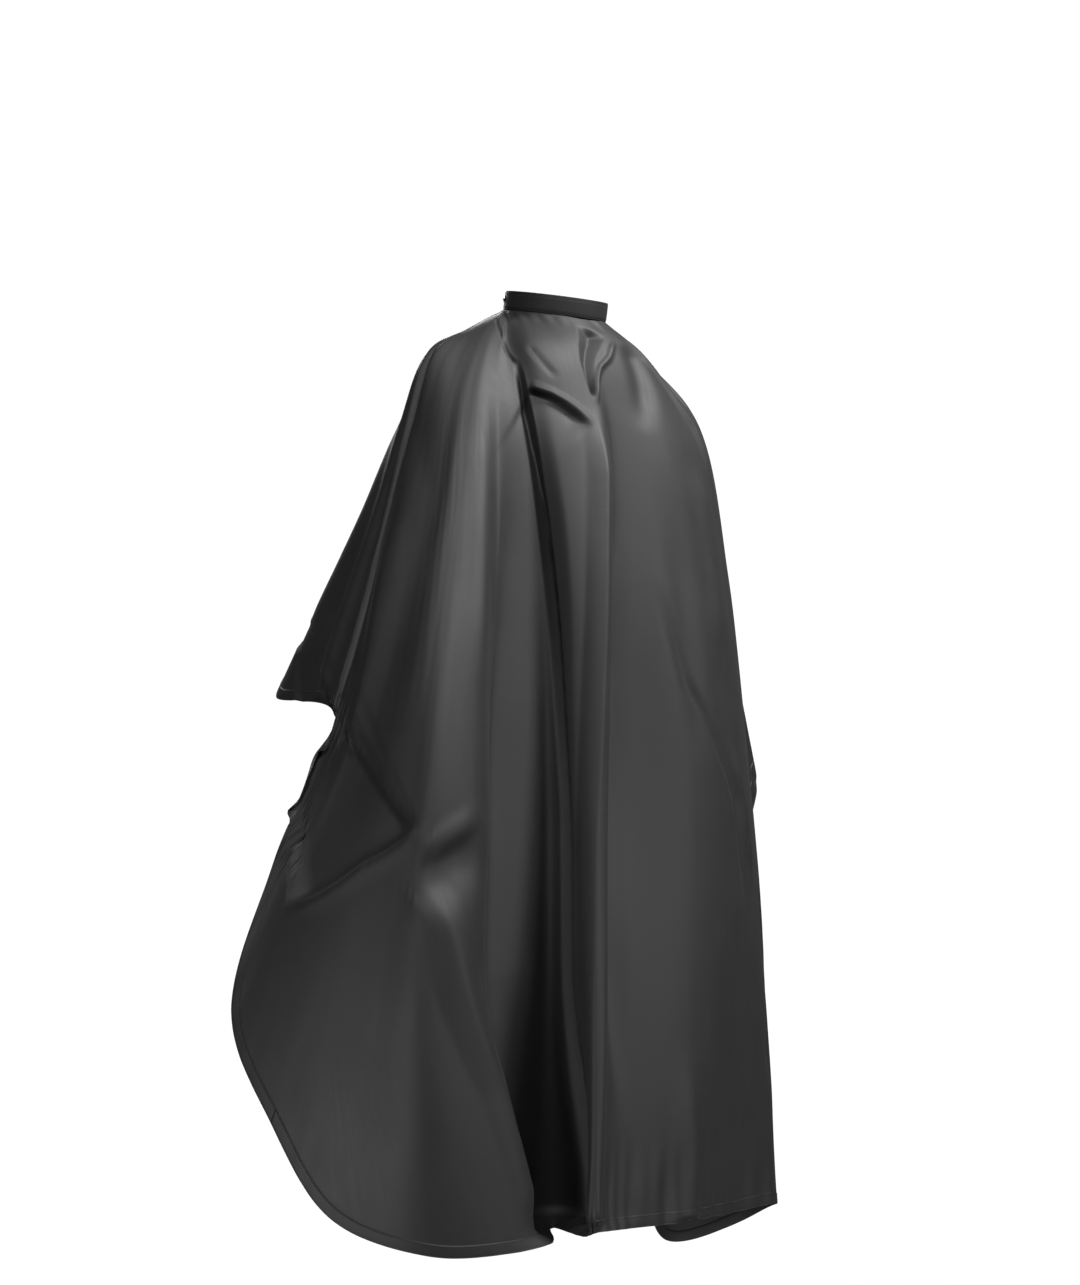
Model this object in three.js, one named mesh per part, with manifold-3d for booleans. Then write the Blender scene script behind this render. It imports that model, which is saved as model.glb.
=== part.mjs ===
// A barber cape as it hangs on the person who wears it: one wide front sheet, two short back
// panels that part at a slit, and a stiff neckband that a tab with a press stud closes at the nape.
// Millimetres. +Z is up, the wearer faces -Y, and +X is the wearer's left. The origin is the
// centre of the neckline, where the neck comes through.
import * as THREE from "three";
import { mergeVertices } from "three/addons/utils/BufferGeometryUtils.js";
import Module from "manifold-3d";

const wasm = await Module();
wasm.setup();

// Overall sizes of the draped cape.
const SPREAD = 450; // neck axis to the widest corner of the right wing
const DEPTH = 270; // neck axis to the front fold at the hem
const DROP = 1190; // neckline to the lowest point of the hem

// Cloth and sewing.
const SHEET = 1.2; // body of the cloth
const GAP = 0.3; // between pieces that touch
const SEWN_GAP = 1.3; // between two pieces of cloth that meet edge to edge
const HEM_WIDTH = 14;
const FACING_WIDTH = 18; // turned edge at each side of the slit
const SEAM_WIDTH = 10; // felled seam on each shoulder
const LABEL_WIDTH = 36;
const LABEL_HEIGHT = 24;
const LABEL_DROP = 26; // neckline to the label's top edge
const LABEL_CLEARANCE = 1.6; // behind the cloth it is sewn to
const LABEL_THICKNESS = 0.5;

// Neckband, standing on the neckline.
const NECK_RADIUS = 65; // to the middle of the band
const NECK_TILT = THREE.MathUtils.degToRad(13); // the nape sits higher than the throat
const BAND_HEIGHT = 22;
const BAND_CLOTH = 0.8;
const STIFFENER = 1.0;
const STIFFENER_INSET = 1.5; // stiffener's edge inside the band's edge
const BAND_THICKNESS = 2 * BAND_CLOTH + 2 * GAP + STIFFENER;
const LEFT_END = 14; // degrees round from the nape to the wearer's left
const RIGHT_END = 354;

// Closing tab: it hinges at the band's left end and passes outside the right end.
const TAB_TIP = -31;
const TAB_RISE_END = -3; // where the tab has climbed clear of the band under it
const TAB_CORNER = 8; // rounding of the tip

// Press studs.
const STUD_COUNT = 4;
const FIRST_STUD = -20; // degrees from the nape
const STUD_PITCH = 18; // along the band
const FLANGE_RADIUS = 4;
const FLANGE = 0.6;
const POST_RADIUS = 1;
const POST_CLEARANCE = 0.3;
const NOSE_RADIUS = 1.6;
const NOSE_HEIGHT = 1.3;
const SOCKET_CLEARANCE = 1; // lets the tab swing the socket off the stud
const SOCKET_RADIUS = 4.5;
const SOCKET_DEPTH = NOSE_HEIGHT;
const SOCKET_FLOOR = 0.3;
const CAP_RADIUS = 5.2;
const CAP_EDGE = 0.5;
const CAP_DOME = 0.5;
const CAP_FLAT = 0.6; // share of the cap's radius inside its rolled edge
const CAP_SHOULDER = 0.7; // share of the dome's height reached there
const NOSE_WALL = 0.6; // share of the nose's height that is straight

// Fineness of the model.
const FRONT_STEPS = 42; // across the front sheet
const FRONT_ROWS = 18; // down it
const RIGHT_CORNER = 7; // the step where the right side hem meets the front hem
const LEFT_CORNER = 36;
const BACK_STEPS = 12; // across and down a back panel
const FACING_ROWS = 10;
const SEAM_ROWS = 30;
const BAND_PITCH = 6; // degrees between the steps of the band
const TAB_PITCH = 2;
const TURNED_SIDES = 16;
const SLOPE_STEP = 5e-3; // share of u or v over which a slope is measured
const SEARCH_REACH = 0.15; // most that u changes in a search round the cloth
const SEARCH_PASSES = 14;
const SETTLING_PASSES = 4;
const HEM_RUN_OUT = 0.14; // most of a rail that a hem takes where the two run side by side

// Finishes.
const CLOTH_LOOK = { color: 0x2b2b2d, roughness: 0.42, metalness: 0 };
const HEM_LOOK = { color: 0x252527, roughness: 0.46, metalness: 0 };
const STIFFENER_LOOK = { color: 0xd8d6d0, roughness: 0.9, metalness: 0 };
const STUD_LOOK = { color: 0x18181a, roughness: 0.3, metalness: 0 };
const LABEL_LOOK = { color: 0xe9e7e1, roughness: 0.8, metalness: 0 };

// The drape is drawn as rails from the neckline to the hem, for a cape of these overall sizes.
const DRAWN = { spread: 450, depth: 270, drop: 1190 };

// Each rail: where it leaves the neckline, in degrees from the nape to the wearer's left, then
// its points down to the hem. They run from the slit round the wearer's right, front and left.
const RAILS = {
  rightSlit: [354, [-10, 84, -32], [-14, 102, -82], [-18, 114, -140], [-22, 120, -195],
    [-25, 124, -250], [-28, 127, -305]],
  rightBack: [332, [-72, 76, -28], [-100, 98, -82], [-122, 114, -150], [-142, 122, -222],
    [-160, 128, -296], [-178, 132, -370]],
  rightElbow: [316, [-118, 28, -36], [-172, 34, -92], [-212, 42, -172], [-248, 56, -268],
    [-292, 86, -382], [-330, 120, -490]],
  rightShoulder: [307, [-128, 6, -34], [-182, -2, -66], [-216, -6, -160], [-252, -10, -285],
    [-296, -24, -410], [-340, -40, -520]],
  wingTop: [303, [-126, -4, -34], [-180, -28, -84], [-228, -50, -210], [-286, -64, -362],
    [-336, -76, -532], [-408, -40, -690]],
  wingCorner: [299, [-122, -12, -34], [-178, -48, -108], [-232, -88, -270], [-294, -112, -456],
    [-372, -88, -660], [-450, -20, -860]],
  wingRound: [295, [-118, -18, -34], [-174, -62, -120], [-230, -112, -300], [-292, -152, -508],
    [-364, -134, -740], [-430, -84, -976]],
  wingSide: [291, [-114, -24, -34], [-170, -72, -128], [-226, -132, -320], [-286, -184, -560],
    [-344, -182, -810], [-390, -152, -1076]],
  wingHand: [287, [-110, -28, -36], [-162, -78, -132], [-214, -140, -340], [-298, -206, -640],
    [-316, -226, -870], [-310, -222, -1112]],
  wingFront: [284, [-106, -32, -38], [-152, -80, -134], [-192, -142, -350], [-236, -204, -640],
    [-262, -226, -880], [-215, -236, -1118]],
  wingEdge: [282, [-102, -36, -42], [-138, -80, -136], [-162, -136, -350], [-172, -176, -620],
    [-192, -206, -870], [-150, -228, -1114]],
  valley: [279, [-98, -46, -56], [-102, -80, -128], [-92, -104, -330], [-94, -128, -600],
    [-104, -148, -860], [-112, -168, -1112]],
  foldWall: [262, [-82, -72, -58], [-74, -100, -132], [-68, -140, -330], [-84, -172, -610],
    [-106, -208, -860], [-128, -252, -1106]],
  frontFold: [232, [-42, -86, -60], [-14, -114, -140], [-26, -152, -330], [-54, -186, -610],
    [-88, -230, -860], [-124, -270, -1100]],
  frontValley: [198, [-2, -88, -58], [10, -104, -132], [8, -126, -330], [-6, -152, -610],
    [-34, -206, -860], [-66, -252, -1104]],
  chest: [150, [62, -78, -54], [96, -104, -160], [104, -134, -360], [98, -162, -610],
    [70, -196, -860], [34, -222, -1112]],
  leftFront: [118, [108, -48, -52], [150, -84, -150], [184, -104, -350], [200, -122, -600],
    [172, -152, -860], [142, -174, -1120]],
  leftArm: [86, [126, -24, -52], [185, -56, -130], [233, -58, -330], [288, -22, -590],
    [302, -34, -850], [250, -122, -1128]],
  leftLobe: [74, [130, -15, -50], [189, -37, -124], [236, -41, -320], [284, 4, -600],
    [258, 34, -880], [176, 12, -1186]],
  leftRound: [66, [131, -8, -50], [187, -22, -116], [232, -30, -296], [284, 22, -540],
    [284, 88, -780], [236, 112, -1010]],
  leftSide: [60, [130, -2, -48], [182, -12, -104], [230, -18, -250], [284, 18, -440],
    [322, 66, -620], [312, 96, -810]],
  leftShoulder: [53, [128, 10, -44], [180, 4, -80], [218, 4, -172], [258, 10, -300],
    [308, 28, -436], [360, 50, -584]],
  leftElbow: [44, [118, 30, -46], [170, 38, -106], [212, 50, -190], [254, 74, -300],
    [302, 112, -424], [344, 148, -552]],
  leftBack: [30, [72, 78, -30], [100, 100, -84], [124, 116, -152], [146, 126, -226],
    [166, 134, -304], [186, 140, -382]],
  leftSlit: [14, [22, 84, -32], [24, 102, -82], [26, 114, -140], [29, 121, -195],
    [31, 125, -252], [33, 128, -310]],
};

const names = Object.keys(RAILS);
const turnOf = (degrees) => THREE.MathUtils.degToRad(degrees);
const drawnPoint = ([x, y, z]) =>
  new THREE.Vector3((x * SPREAD) / DRAWN.spread, (y * DEPTH) / DRAWN.depth, (z * DROP) / DRAWN.drop);

// A point of the neckline, just under the band.
function neckline(degrees) {
  const turn = turnOf(degrees);
  return new THREE.Vector3(NECK_RADIUS * Math.sin(turn), NECK_RADIUS * Math.cos(turn), -SEWN_GAP - SHEET / 2)
    .applyAxisAngle(new THREE.Vector3(1, 0, 0), NECK_TILT);
}

const rails = names.map((name) => {
  const [turn, ...points] = RAILS[name];
  return new THREE.CatmullRomCurve3([neckline(turn), ...points.map(drawnPoint)]);
});

// u of a named rail: 0 is the right edge of the slit and 1 the left.
const railAt = (name) => names.indexOf(name) / (names.length - 1);

// The cloth's middle surface: u round from rail to rail, v down from the neckline to the hem.
function cloth(u, v) {
  return new THREE.CatmullRomCurve3(rails.map((rail) => rail.getPoint(v))).getPoint(u);
}

// The u that lies a distance round from u at v: positive towards the left edge of the slit.
function roundFrom(u, v, distance) {
  const start = cloth(u, v);
  let near = 0;
  let far = SEARCH_REACH * Math.sign(distance);
  for (let pass = 0; pass < SEARCH_PASSES; pass++) {
    const middle = (near + far) / 2;
    const apart = cloth(THREE.MathUtils.clamp(u + middle, 0, 1), v).distanceTo(start);
    if (apart < Math.abs(distance)) near = middle;
    else far = middle;
  }
  return u + (near + far) / 2;
}

// The v that lies a distance down the cloth from v at u.
function downFrom(u, v, distance) {
  return v + (distance * SLOPE_STEP) / cloth(u, v + SLOPE_STEP).distanceTo(cloth(u, v));
}

// The v at u of the line that runs a distance inside the hem's edge, square to the edge.
function aboveHem(u, distance) {
  const round = cloth(Math.min(u + SLOPE_STEP, 1), 1).sub(cloth(Math.max(u - SLOPE_STEP, 0), 1));
  const down = cloth(u, 1).sub(cloth(u, 1 - SLOPE_STEP));
  const share = (SLOPE_STEP * round.length()) / down.cross(round).length();
  return 1 - distance * Math.min(share, HEM_RUN_OUT / HEM_WIDTH);
}

// The triangles of a grid of points, as three numbers each.
function gridTriangles(across, down) {
  const index = (i, j) => i * (down + 1) + j;
  const triangles = [];
  for (let i = 0; i < across; i++)
    for (let j = 0; j < down; j++) {
      triangles.push([index(i, j), index(i, j + 1), index(i + 1, j)]);
      triangles.push([index(i + 1, j), index(i, j + 1), index(i + 1, j + 1)]);
    }
  return triangles;
}

// The outward direction at each point of a grid: midway between the triangles that meet there, so
// that a sheet's two faces never cross at a sharp fold.
function gridNormals(points, across, down) {
  const normals = points.map(() => new THREE.Vector3());
  for (const corners of gridTriangles(across, down)) {
    const triangle = new THREE.Triangle(...corners.map((corner) => points[corner]));
    const facing = triangle.getNormal(new THREE.Vector3());
    for (const corner of corners) normals[corner].add(facing);
  }
  return normals.map((normal) => normal.normalize());
}

// A closed solid from a grid of outer points and the grid of inner points behind them.
function sheetSolid(outer, inner, across, down) {
  const index = (i, j) => i * (down + 1) + j;
  const count = outer.length;
  const faces = [];
  for (const [a, b, c] of gridTriangles(across, down)) faces.push(a, b, c, a + count, c + count, b + count);
  const wall = (a, b) => faces.push(b, a, a + count, b, a + count, b + count);
  for (let j = 0; j < down; j++) {
    wall(index(0, j), index(0, j + 1));
    wall(index(across, j + 1), index(across, j));
  }
  for (let i = 0; i < across; i++) {
    wall(index(i, down), index(i + 1, down));
    wall(index(i + 1, 0), index(i, 0));
  }
  const positions = [...outer, ...inner].flatMap((point) => point.toArray());
  const geometry = new THREE.BufferGeometry();
  geometry.setAttribute("position", new THREE.Float32BufferAttribute(positions, 3));
  geometry.setIndex(faces);
  geometry.computeVertexNormals();
  return geometry;
}

// A piece of the draped cloth between two side lines u(v) and two cross lines v(u). Each point
// has to lie on one of each, so its u and v are settled by turns.
function clothPiece({ from, to, top, bottom, across, down, out = SHEET / 2, back = -SHEET / 2 }) {
  const middle = [];
  for (let i = 0; i <= across; i++)
    for (let j = 0; j <= down; j++) {
      let u = THREE.MathUtils.lerp(from(0.5), to(0.5), i / across);
      let v = 0;
      for (let pass = 0; pass < SETTLING_PASSES; pass++) {
        v = THREE.MathUtils.lerp(top(u), bottom(u), j / down);
        u = THREE.MathUtils.lerp(from(v), to(v), i / across);
      }
      middle.push(cloth(u, v));
    }
  const normals = gridNormals(middle, across, down);
  const shifted = (distance) => middle.map((point, i) => point.clone().addScaledVector(normals[i], distance));
  return sheetSolid(shifted(out), shifted(back), across, down);
}

const cape = new THREE.Group();

function addPiece(parent, name, geometry, look) {
  const mesh = new THREE.Mesh(geometry, new THREE.MeshStandardMaterial(look));
  mesh.name = name;
  parent.add(mesh);
}

// Side lines beside a rail, and cross lines above the hem.
const beside = (name, distance) => (v) => roundFrom(railAt(name), v, distance);
const onRail = (name) => () => railAt(name);
const neckEdge = () => 0;
const hemEdge = () => 1;
const hemTop = (u) => aboveHem(u, HEM_WIDTH);
const panelEnd = (u) => aboveHem(u, HEM_WIDTH + SEWN_GAP);

// One panel, from side line to side line, with its hem.
function addPanel(panel, hem, from, to, across, down) {
  addPiece(cape, panel, clothPiece({ from, to, top: neckEdge, bottom: panelEnd, across, down }), CLOTH_LOOK);
  if (hem)
    addPiece(cape, hem, clothPiece({ from, to, top: hemTop, bottom: hemEdge, across, down: 1 }), HEM_LOOK);
}

function addPanels() {
  const seamSide = SEAM_WIDTH / 2 + SEWN_GAP;
  const rightBackStart = beside("rightSlit", FACING_WIDTH + SEWN_GAP);
  const leftBackEnd = beside("leftSlit", -FACING_WIDTH - SEWN_GAP);
  const frontStart = beside("rightShoulder", seamSide);
  const frontEnd = beside("leftShoulder", -seamSide);
  const rightBackEnd = beside("rightShoulder", -seamSide);
  const leftBackStart = beside("leftShoulder", seamSide);
  addPanel("right_back_panel", "right_back_hem", rightBackStart, rightBackEnd, BACK_STEPS, BACK_STEPS);
  addPanel("left_back_panel", "left_back_hem", leftBackStart, leftBackEnd, BACK_STEPS, BACK_STEPS);
  addPanel("front_panel", null, frontStart, frontEnd, FRONT_STEPS, FRONT_ROWS);
  // The front sheet's hem is three strips, which meet where the corners round off.
  const frontHems = [
    ["right_side_hem", 0, RIGHT_CORNER],
    ["front_hem", RIGHT_CORNER, LEFT_CORNER],
    ["left_side_hem", LEFT_CORNER, FRONT_STEPS],
  ];
  const line = (step) => (v) => THREE.MathUtils.lerp(frontStart(v), frontEnd(v), step / FRONT_STEPS);
  const trimmed = (step, side) => (v) =>
    step % FRONT_STEPS ? roundFrom(line(step)(v), v, (side * SEWN_GAP) / 2) : line(step)(v);
  for (const [name, first, last] of frontHems)
    addPiece(cape, name, clothPiece({
      from: trimmed(first, 1),
      to: trimmed(last, -1),
      top: hemTop,
      bottom: hemEdge,
      across: last - first,
      down: 1,
    }), HEM_LOOK);
}

function addEdgesAndSeams() {
  const half = SEAM_WIDTH / 2;
  const strips = [
    ["right_slit_facing", onRail("rightSlit"), beside("rightSlit", FACING_WIDTH), FACING_ROWS],
    ["left_slit_facing", beside("leftSlit", -FACING_WIDTH), onRail("leftSlit"), FACING_ROWS],
    ["right_shoulder_seam", beside("rightShoulder", -half), beside("rightShoulder", half), SEAM_ROWS],
    ["left_shoulder_seam", beside("leftShoulder", -half), beside("leftShoulder", half), SEAM_ROWS],
  ];
  for (const [name, from, to, down] of strips)
    addPiece(cape, name, clothPiece({ from, to, top: neckEdge, bottom: hemEdge, across: 2, down }), HEM_LOOK);
}

// Blank label, sewn inside the right back panel beside the slit.
function addLabel() {
  const inset = FACING_WIDTH + 2 * SEWN_GAP;
  const labelTop = (u) => downFrom(u, 0, LABEL_DROP);
  addPiece(cape, "care_label", clothPiece({
    from: beside("rightSlit", inset),
    to: beside("rightSlit", inset + LABEL_WIDTH),
    top: labelTop,
    bottom: (u) => downFrom(u, labelTop(u), LABEL_HEIGHT),
    across: 3,
    down: 2,
    out: -SHEET / 2 - LABEL_CLEARANCE,
    back: -SHEET / 2 - LABEL_CLEARANCE - LABEL_THICKNESS,
  }), LABEL_LOOK);
}

// A strip that stands round the neck between two turns: radiusAt and edgeAt give its middle
// radius and how far its top and bottom edges draw in, at each turn; pitch is the turn of a step.
const plainRadius = () => NECK_RADIUS;
const plainEdge = () => 0;
function bandStrip({
  start, end, inside, outside, inset, pitch, radiusAt = plainRadius, edgeAt = plainEdge,
}) {
  const across = Math.ceil(Math.abs(end - start) / pitch);
  const outer = [];
  const inner = [];
  for (let i = 0; i <= across; i++) {
    const degrees = THREE.MathUtils.lerp(start, end, i / across);
    const turn = turnOf(degrees);
    for (const level of [1, 0]) {
      const edge = inset + edgeAt(degrees);
      const height = level ? BAND_HEIGHT - edge : edge;
      const spot = (radius) => new THREE.Vector3(radius * Math.sin(turn), radius * Math.cos(turn), height);
      outer.push(spot(radiusAt(degrees) + outside));
      inner.push(spot(radiusAt(degrees) + inside));
    }
  }
  return sheetSolid(outer, inner, across, 1);
}

// The three layers of the band or the tab, from the neck outwards.
const LAYERS = [
  ["lining", -BAND_THICKNESS / 2, -BAND_THICKNESS / 2 + BAND_CLOTH, 0, CLOTH_LOOK],
  ["stiffener", -STIFFENER / 2, STIFFENER / 2, STIFFENER_INSET, STIFFENER_LOOK],
  ["shell", BAND_THICKNESS / 2 - BAND_CLOTH, BAND_THICKNESS / 2, 0, CLOTH_LOOK],
];

// Height of each thing that a closed press stud stacks up outside the band.
const BAND_FACE = NECK_RADIUS + BAND_THICKNESS / 2;
const FLANGE_TOP = BAND_FACE + GAP + FLANGE;
const SOCKET_BACK = FLANGE_TOP + GAP + SOCKET_DEPTH + SOCKET_FLOOR;
const TAB_RADIUS = SOCKET_BACK + GAP + BAND_THICKNESS / 2;
const TAB_FACE = TAB_RADIUS + BAND_THICKNESS / 2;

// A turned piece at a turn of the band: its profile is radius against distance from the neck axis.
function turnedPiece(degrees, profile) {
  const outline = profile.map(([radius, out]) => new THREE.Vector2(radius, out));
  const geometry = new THREE.LatheGeometry(outline, TURNED_SIDES);
  geometry.rotateZ(-turnOf(degrees));
  geometry.translate(0, 0, BAND_HEIGHT / 2);
  return geometry;
}

function solidFrom(geometry) {
  const bare = geometry.clone();
  bare.deleteAttribute("normal");
  bare.deleteAttribute("uv");
  const merged = mergeVertices(bare, 1e-4);
  const corners = [];
  const index = merged.index.array;
  for (let i = 0; i < index.length; i += 3) {
    const [a, b, c] = index.slice(i, i + 3);
    if (a !== b && b !== c && c !== a) corners.push(a, b, c);
  }
  return new wasm.Manifold(new wasm.Mesh({
    numProp: 3,
    vertProperties: merged.attributes.position.array,
    triVerts: new Uint32Array(corners),
  }));
}

// The piece with a hole through it for each post at these turns.
function drilled(geometry, turns) {
  let solid = solidFrom(geometry);
  for (const degrees of turns) {
    const radius = POST_RADIUS + POST_CLEARANCE;
    const drill = turnedPiece(degrees, [[0, NECK_RADIUS / 2], [radius, NECK_RADIUS / 2],
      [radius, NECK_RADIUS * 1.5], [0, NECK_RADIUS * 1.5]]);
    solid = solid.subtract(solidFrom(drill));
  }
  const mesh = solid.getMesh();
  const cut = new THREE.BufferGeometry();
  cut.setAttribute("position", new THREE.BufferAttribute(mesh.vertProperties, 3));
  cut.setIndex(new THREE.BufferAttribute(mesh.triVerts, 1));
  cut.computeVertexNormals();
  return cut;
}

const studTurns = Array.from({ length: STUD_COUNT }, (_, i) =>
  FIRST_STUD - i * THREE.MathUtils.radToDeg(STUD_PITCH / NECK_RADIUS));

function addBand(collar) {
  for (const [layer, inside, outside, inset, look] of LAYERS) {
    const margin = THREE.MathUtils.radToDeg(inset / NECK_RADIUS);
    const [start, end] = [RIGHT_END - margin, LEFT_END + margin];
    const strip = bandStrip({ start, end, inside, outside, inset, pitch: BAND_PITCH });
    addPiece(collar, "neckband_" + layer, drilled(strip, studTurns), look);
  }
}

function addTab(collar) {
  const root = LEFT_END - THREE.MathUtils.radToDeg(SEWN_GAP / NECK_RADIUS);
  const climb = (degrees) => THREE.MathUtils.smoothstep(-degrees, -root, -TAB_RISE_END);
  const corner = THREE.MathUtils.radToDeg(TAB_CORNER / TAB_RADIUS);
  const rounding = (degrees) => {
    const past = Math.max(0, TAB_TIP + corner - degrees) / corner;
    return TAB_CORNER * (1 - Math.sqrt(Math.max(0, 1 - past * past)));
  };
  for (const [layer, inside, outside, inset, look] of LAYERS) {
    const margin = THREE.MathUtils.radToDeg(inset / NECK_RADIUS);
    const strip = bandStrip({
      start: root - margin,
      end: TAB_TIP + margin,
      inside,
      outside,
      inset,
      pitch: TAB_PITCH,
      radiusAt: (degrees) => THREE.MathUtils.lerp(NECK_RADIUS, TAB_RADIUS, climb(degrees)),
      edgeAt: rounding,
    });
    addPiece(collar, "tab_" + layer, drilled(strip, [FIRST_STUD]), look);
  }
  const capFoot = TAB_FACE + GAP;
  addPiece(collar, "snap_cap", turnedPiece(FIRST_STUD, [
    [0, SOCKET_BACK + GAP], [POST_RADIUS, SOCKET_BACK + GAP], [POST_RADIUS, capFoot], [CAP_RADIUS, capFoot],
    [CAP_RADIUS, capFoot + CAP_EDGE], [CAP_RADIUS * CAP_FLAT, capFoot + CAP_EDGE + CAP_DOME * CAP_SHOULDER],
    [0, capFoot + CAP_EDGE + CAP_DOME],
  ]), STUD_LOOK);
  const mouth = NOSE_RADIUS + SOCKET_CLEARANCE;
  addPiece(collar, "snap_socket", turnedPiece(FIRST_STUD, [
    [0, SOCKET_BACK - SOCKET_FLOOR], [mouth, SOCKET_BACK - SOCKET_FLOOR], [mouth, FLANGE_TOP + GAP],
    [SOCKET_RADIUS, FLANGE_TOP + GAP], [SOCKET_RADIUS, SOCKET_BACK], [0, SOCKET_BACK],
  ]), STUD_LOOK);
}

function addStuds(collar) {
  const liningFace = NECK_RADIUS - BAND_THICKNESS / 2;
  studTurns.forEach((degrees, i) => {
    addPiece(collar, `snap_stud_${i + 1}`, turnedPiece(degrees, [
      [0, liningFace], [POST_RADIUS, liningFace],
      [POST_RADIUS, BAND_FACE + GAP], [FLANGE_RADIUS, BAND_FACE + GAP],
      [FLANGE_RADIUS, FLANGE_TOP], [NOSE_RADIUS, FLANGE_TOP],
      [NOSE_RADIUS, FLANGE_TOP + NOSE_HEIGHT * NOSE_WALL],
      [0, FLANGE_TOP + NOSE_HEIGHT],
    ]), STUD_LOOK);
    addPiece(collar, `snap_backing_${i + 1}`, turnedPiece(degrees, [
      [0, liningFace - GAP - FLANGE], [FLANGE_RADIUS, liningFace - GAP - FLANGE],
      [FLANGE_RADIUS, liningFace - GAP], [0, liningFace - GAP],
    ]), STUD_LOOK);
  });
}

addPanels();
addEdgesAndSeams();
addLabel();
const collar = new THREE.Group();
collar.rotation.x = NECK_TILT;
addBand(collar);
addTab(collar);
addStuds(collar);
cape.add(collar);

export default cape;
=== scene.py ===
import math

import bpy
import numpy as np
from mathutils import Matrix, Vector


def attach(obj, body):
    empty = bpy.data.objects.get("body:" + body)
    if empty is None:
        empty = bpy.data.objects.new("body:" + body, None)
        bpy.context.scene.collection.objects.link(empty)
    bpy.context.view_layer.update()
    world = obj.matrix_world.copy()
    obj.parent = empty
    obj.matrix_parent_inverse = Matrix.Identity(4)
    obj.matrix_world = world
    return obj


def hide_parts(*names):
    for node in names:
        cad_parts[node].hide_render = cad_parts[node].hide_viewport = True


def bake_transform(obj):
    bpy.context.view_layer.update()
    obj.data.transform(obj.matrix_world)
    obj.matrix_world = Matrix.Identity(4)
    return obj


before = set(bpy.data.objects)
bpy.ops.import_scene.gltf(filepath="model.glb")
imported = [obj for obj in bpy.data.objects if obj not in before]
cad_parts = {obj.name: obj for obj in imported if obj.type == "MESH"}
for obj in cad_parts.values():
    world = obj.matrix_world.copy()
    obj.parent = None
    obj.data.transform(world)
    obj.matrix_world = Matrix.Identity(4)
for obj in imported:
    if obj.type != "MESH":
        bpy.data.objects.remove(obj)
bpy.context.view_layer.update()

# ---------------------------------------------------------------- sizes, in metres
NECK_RADIUS = 0.065  # to the middle of the neckband
NECK_TILT = math.radians(13)  # the nape sits higher than the throat
BAND_HEIGHT = 0.022
BAND_THICKNESS = 0.0032
BAND_LEFT_END = 14  # degrees round from the nape to the wearer's left
BAND_RIGHT_END = 354
NECK_SEAM = 0.0016  # the cloth starts this far under the band
HEM_WIDTH = 0.014
HEM_THICKNESS = 0.0011
FACING_WIDTH = 0.018
SEAM_WIDTH = 0.010
STITCH = 0.0026
STITCH_PITCH = 0.0034
THREAD = 0.00028  # radius of the sewing thread

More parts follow.
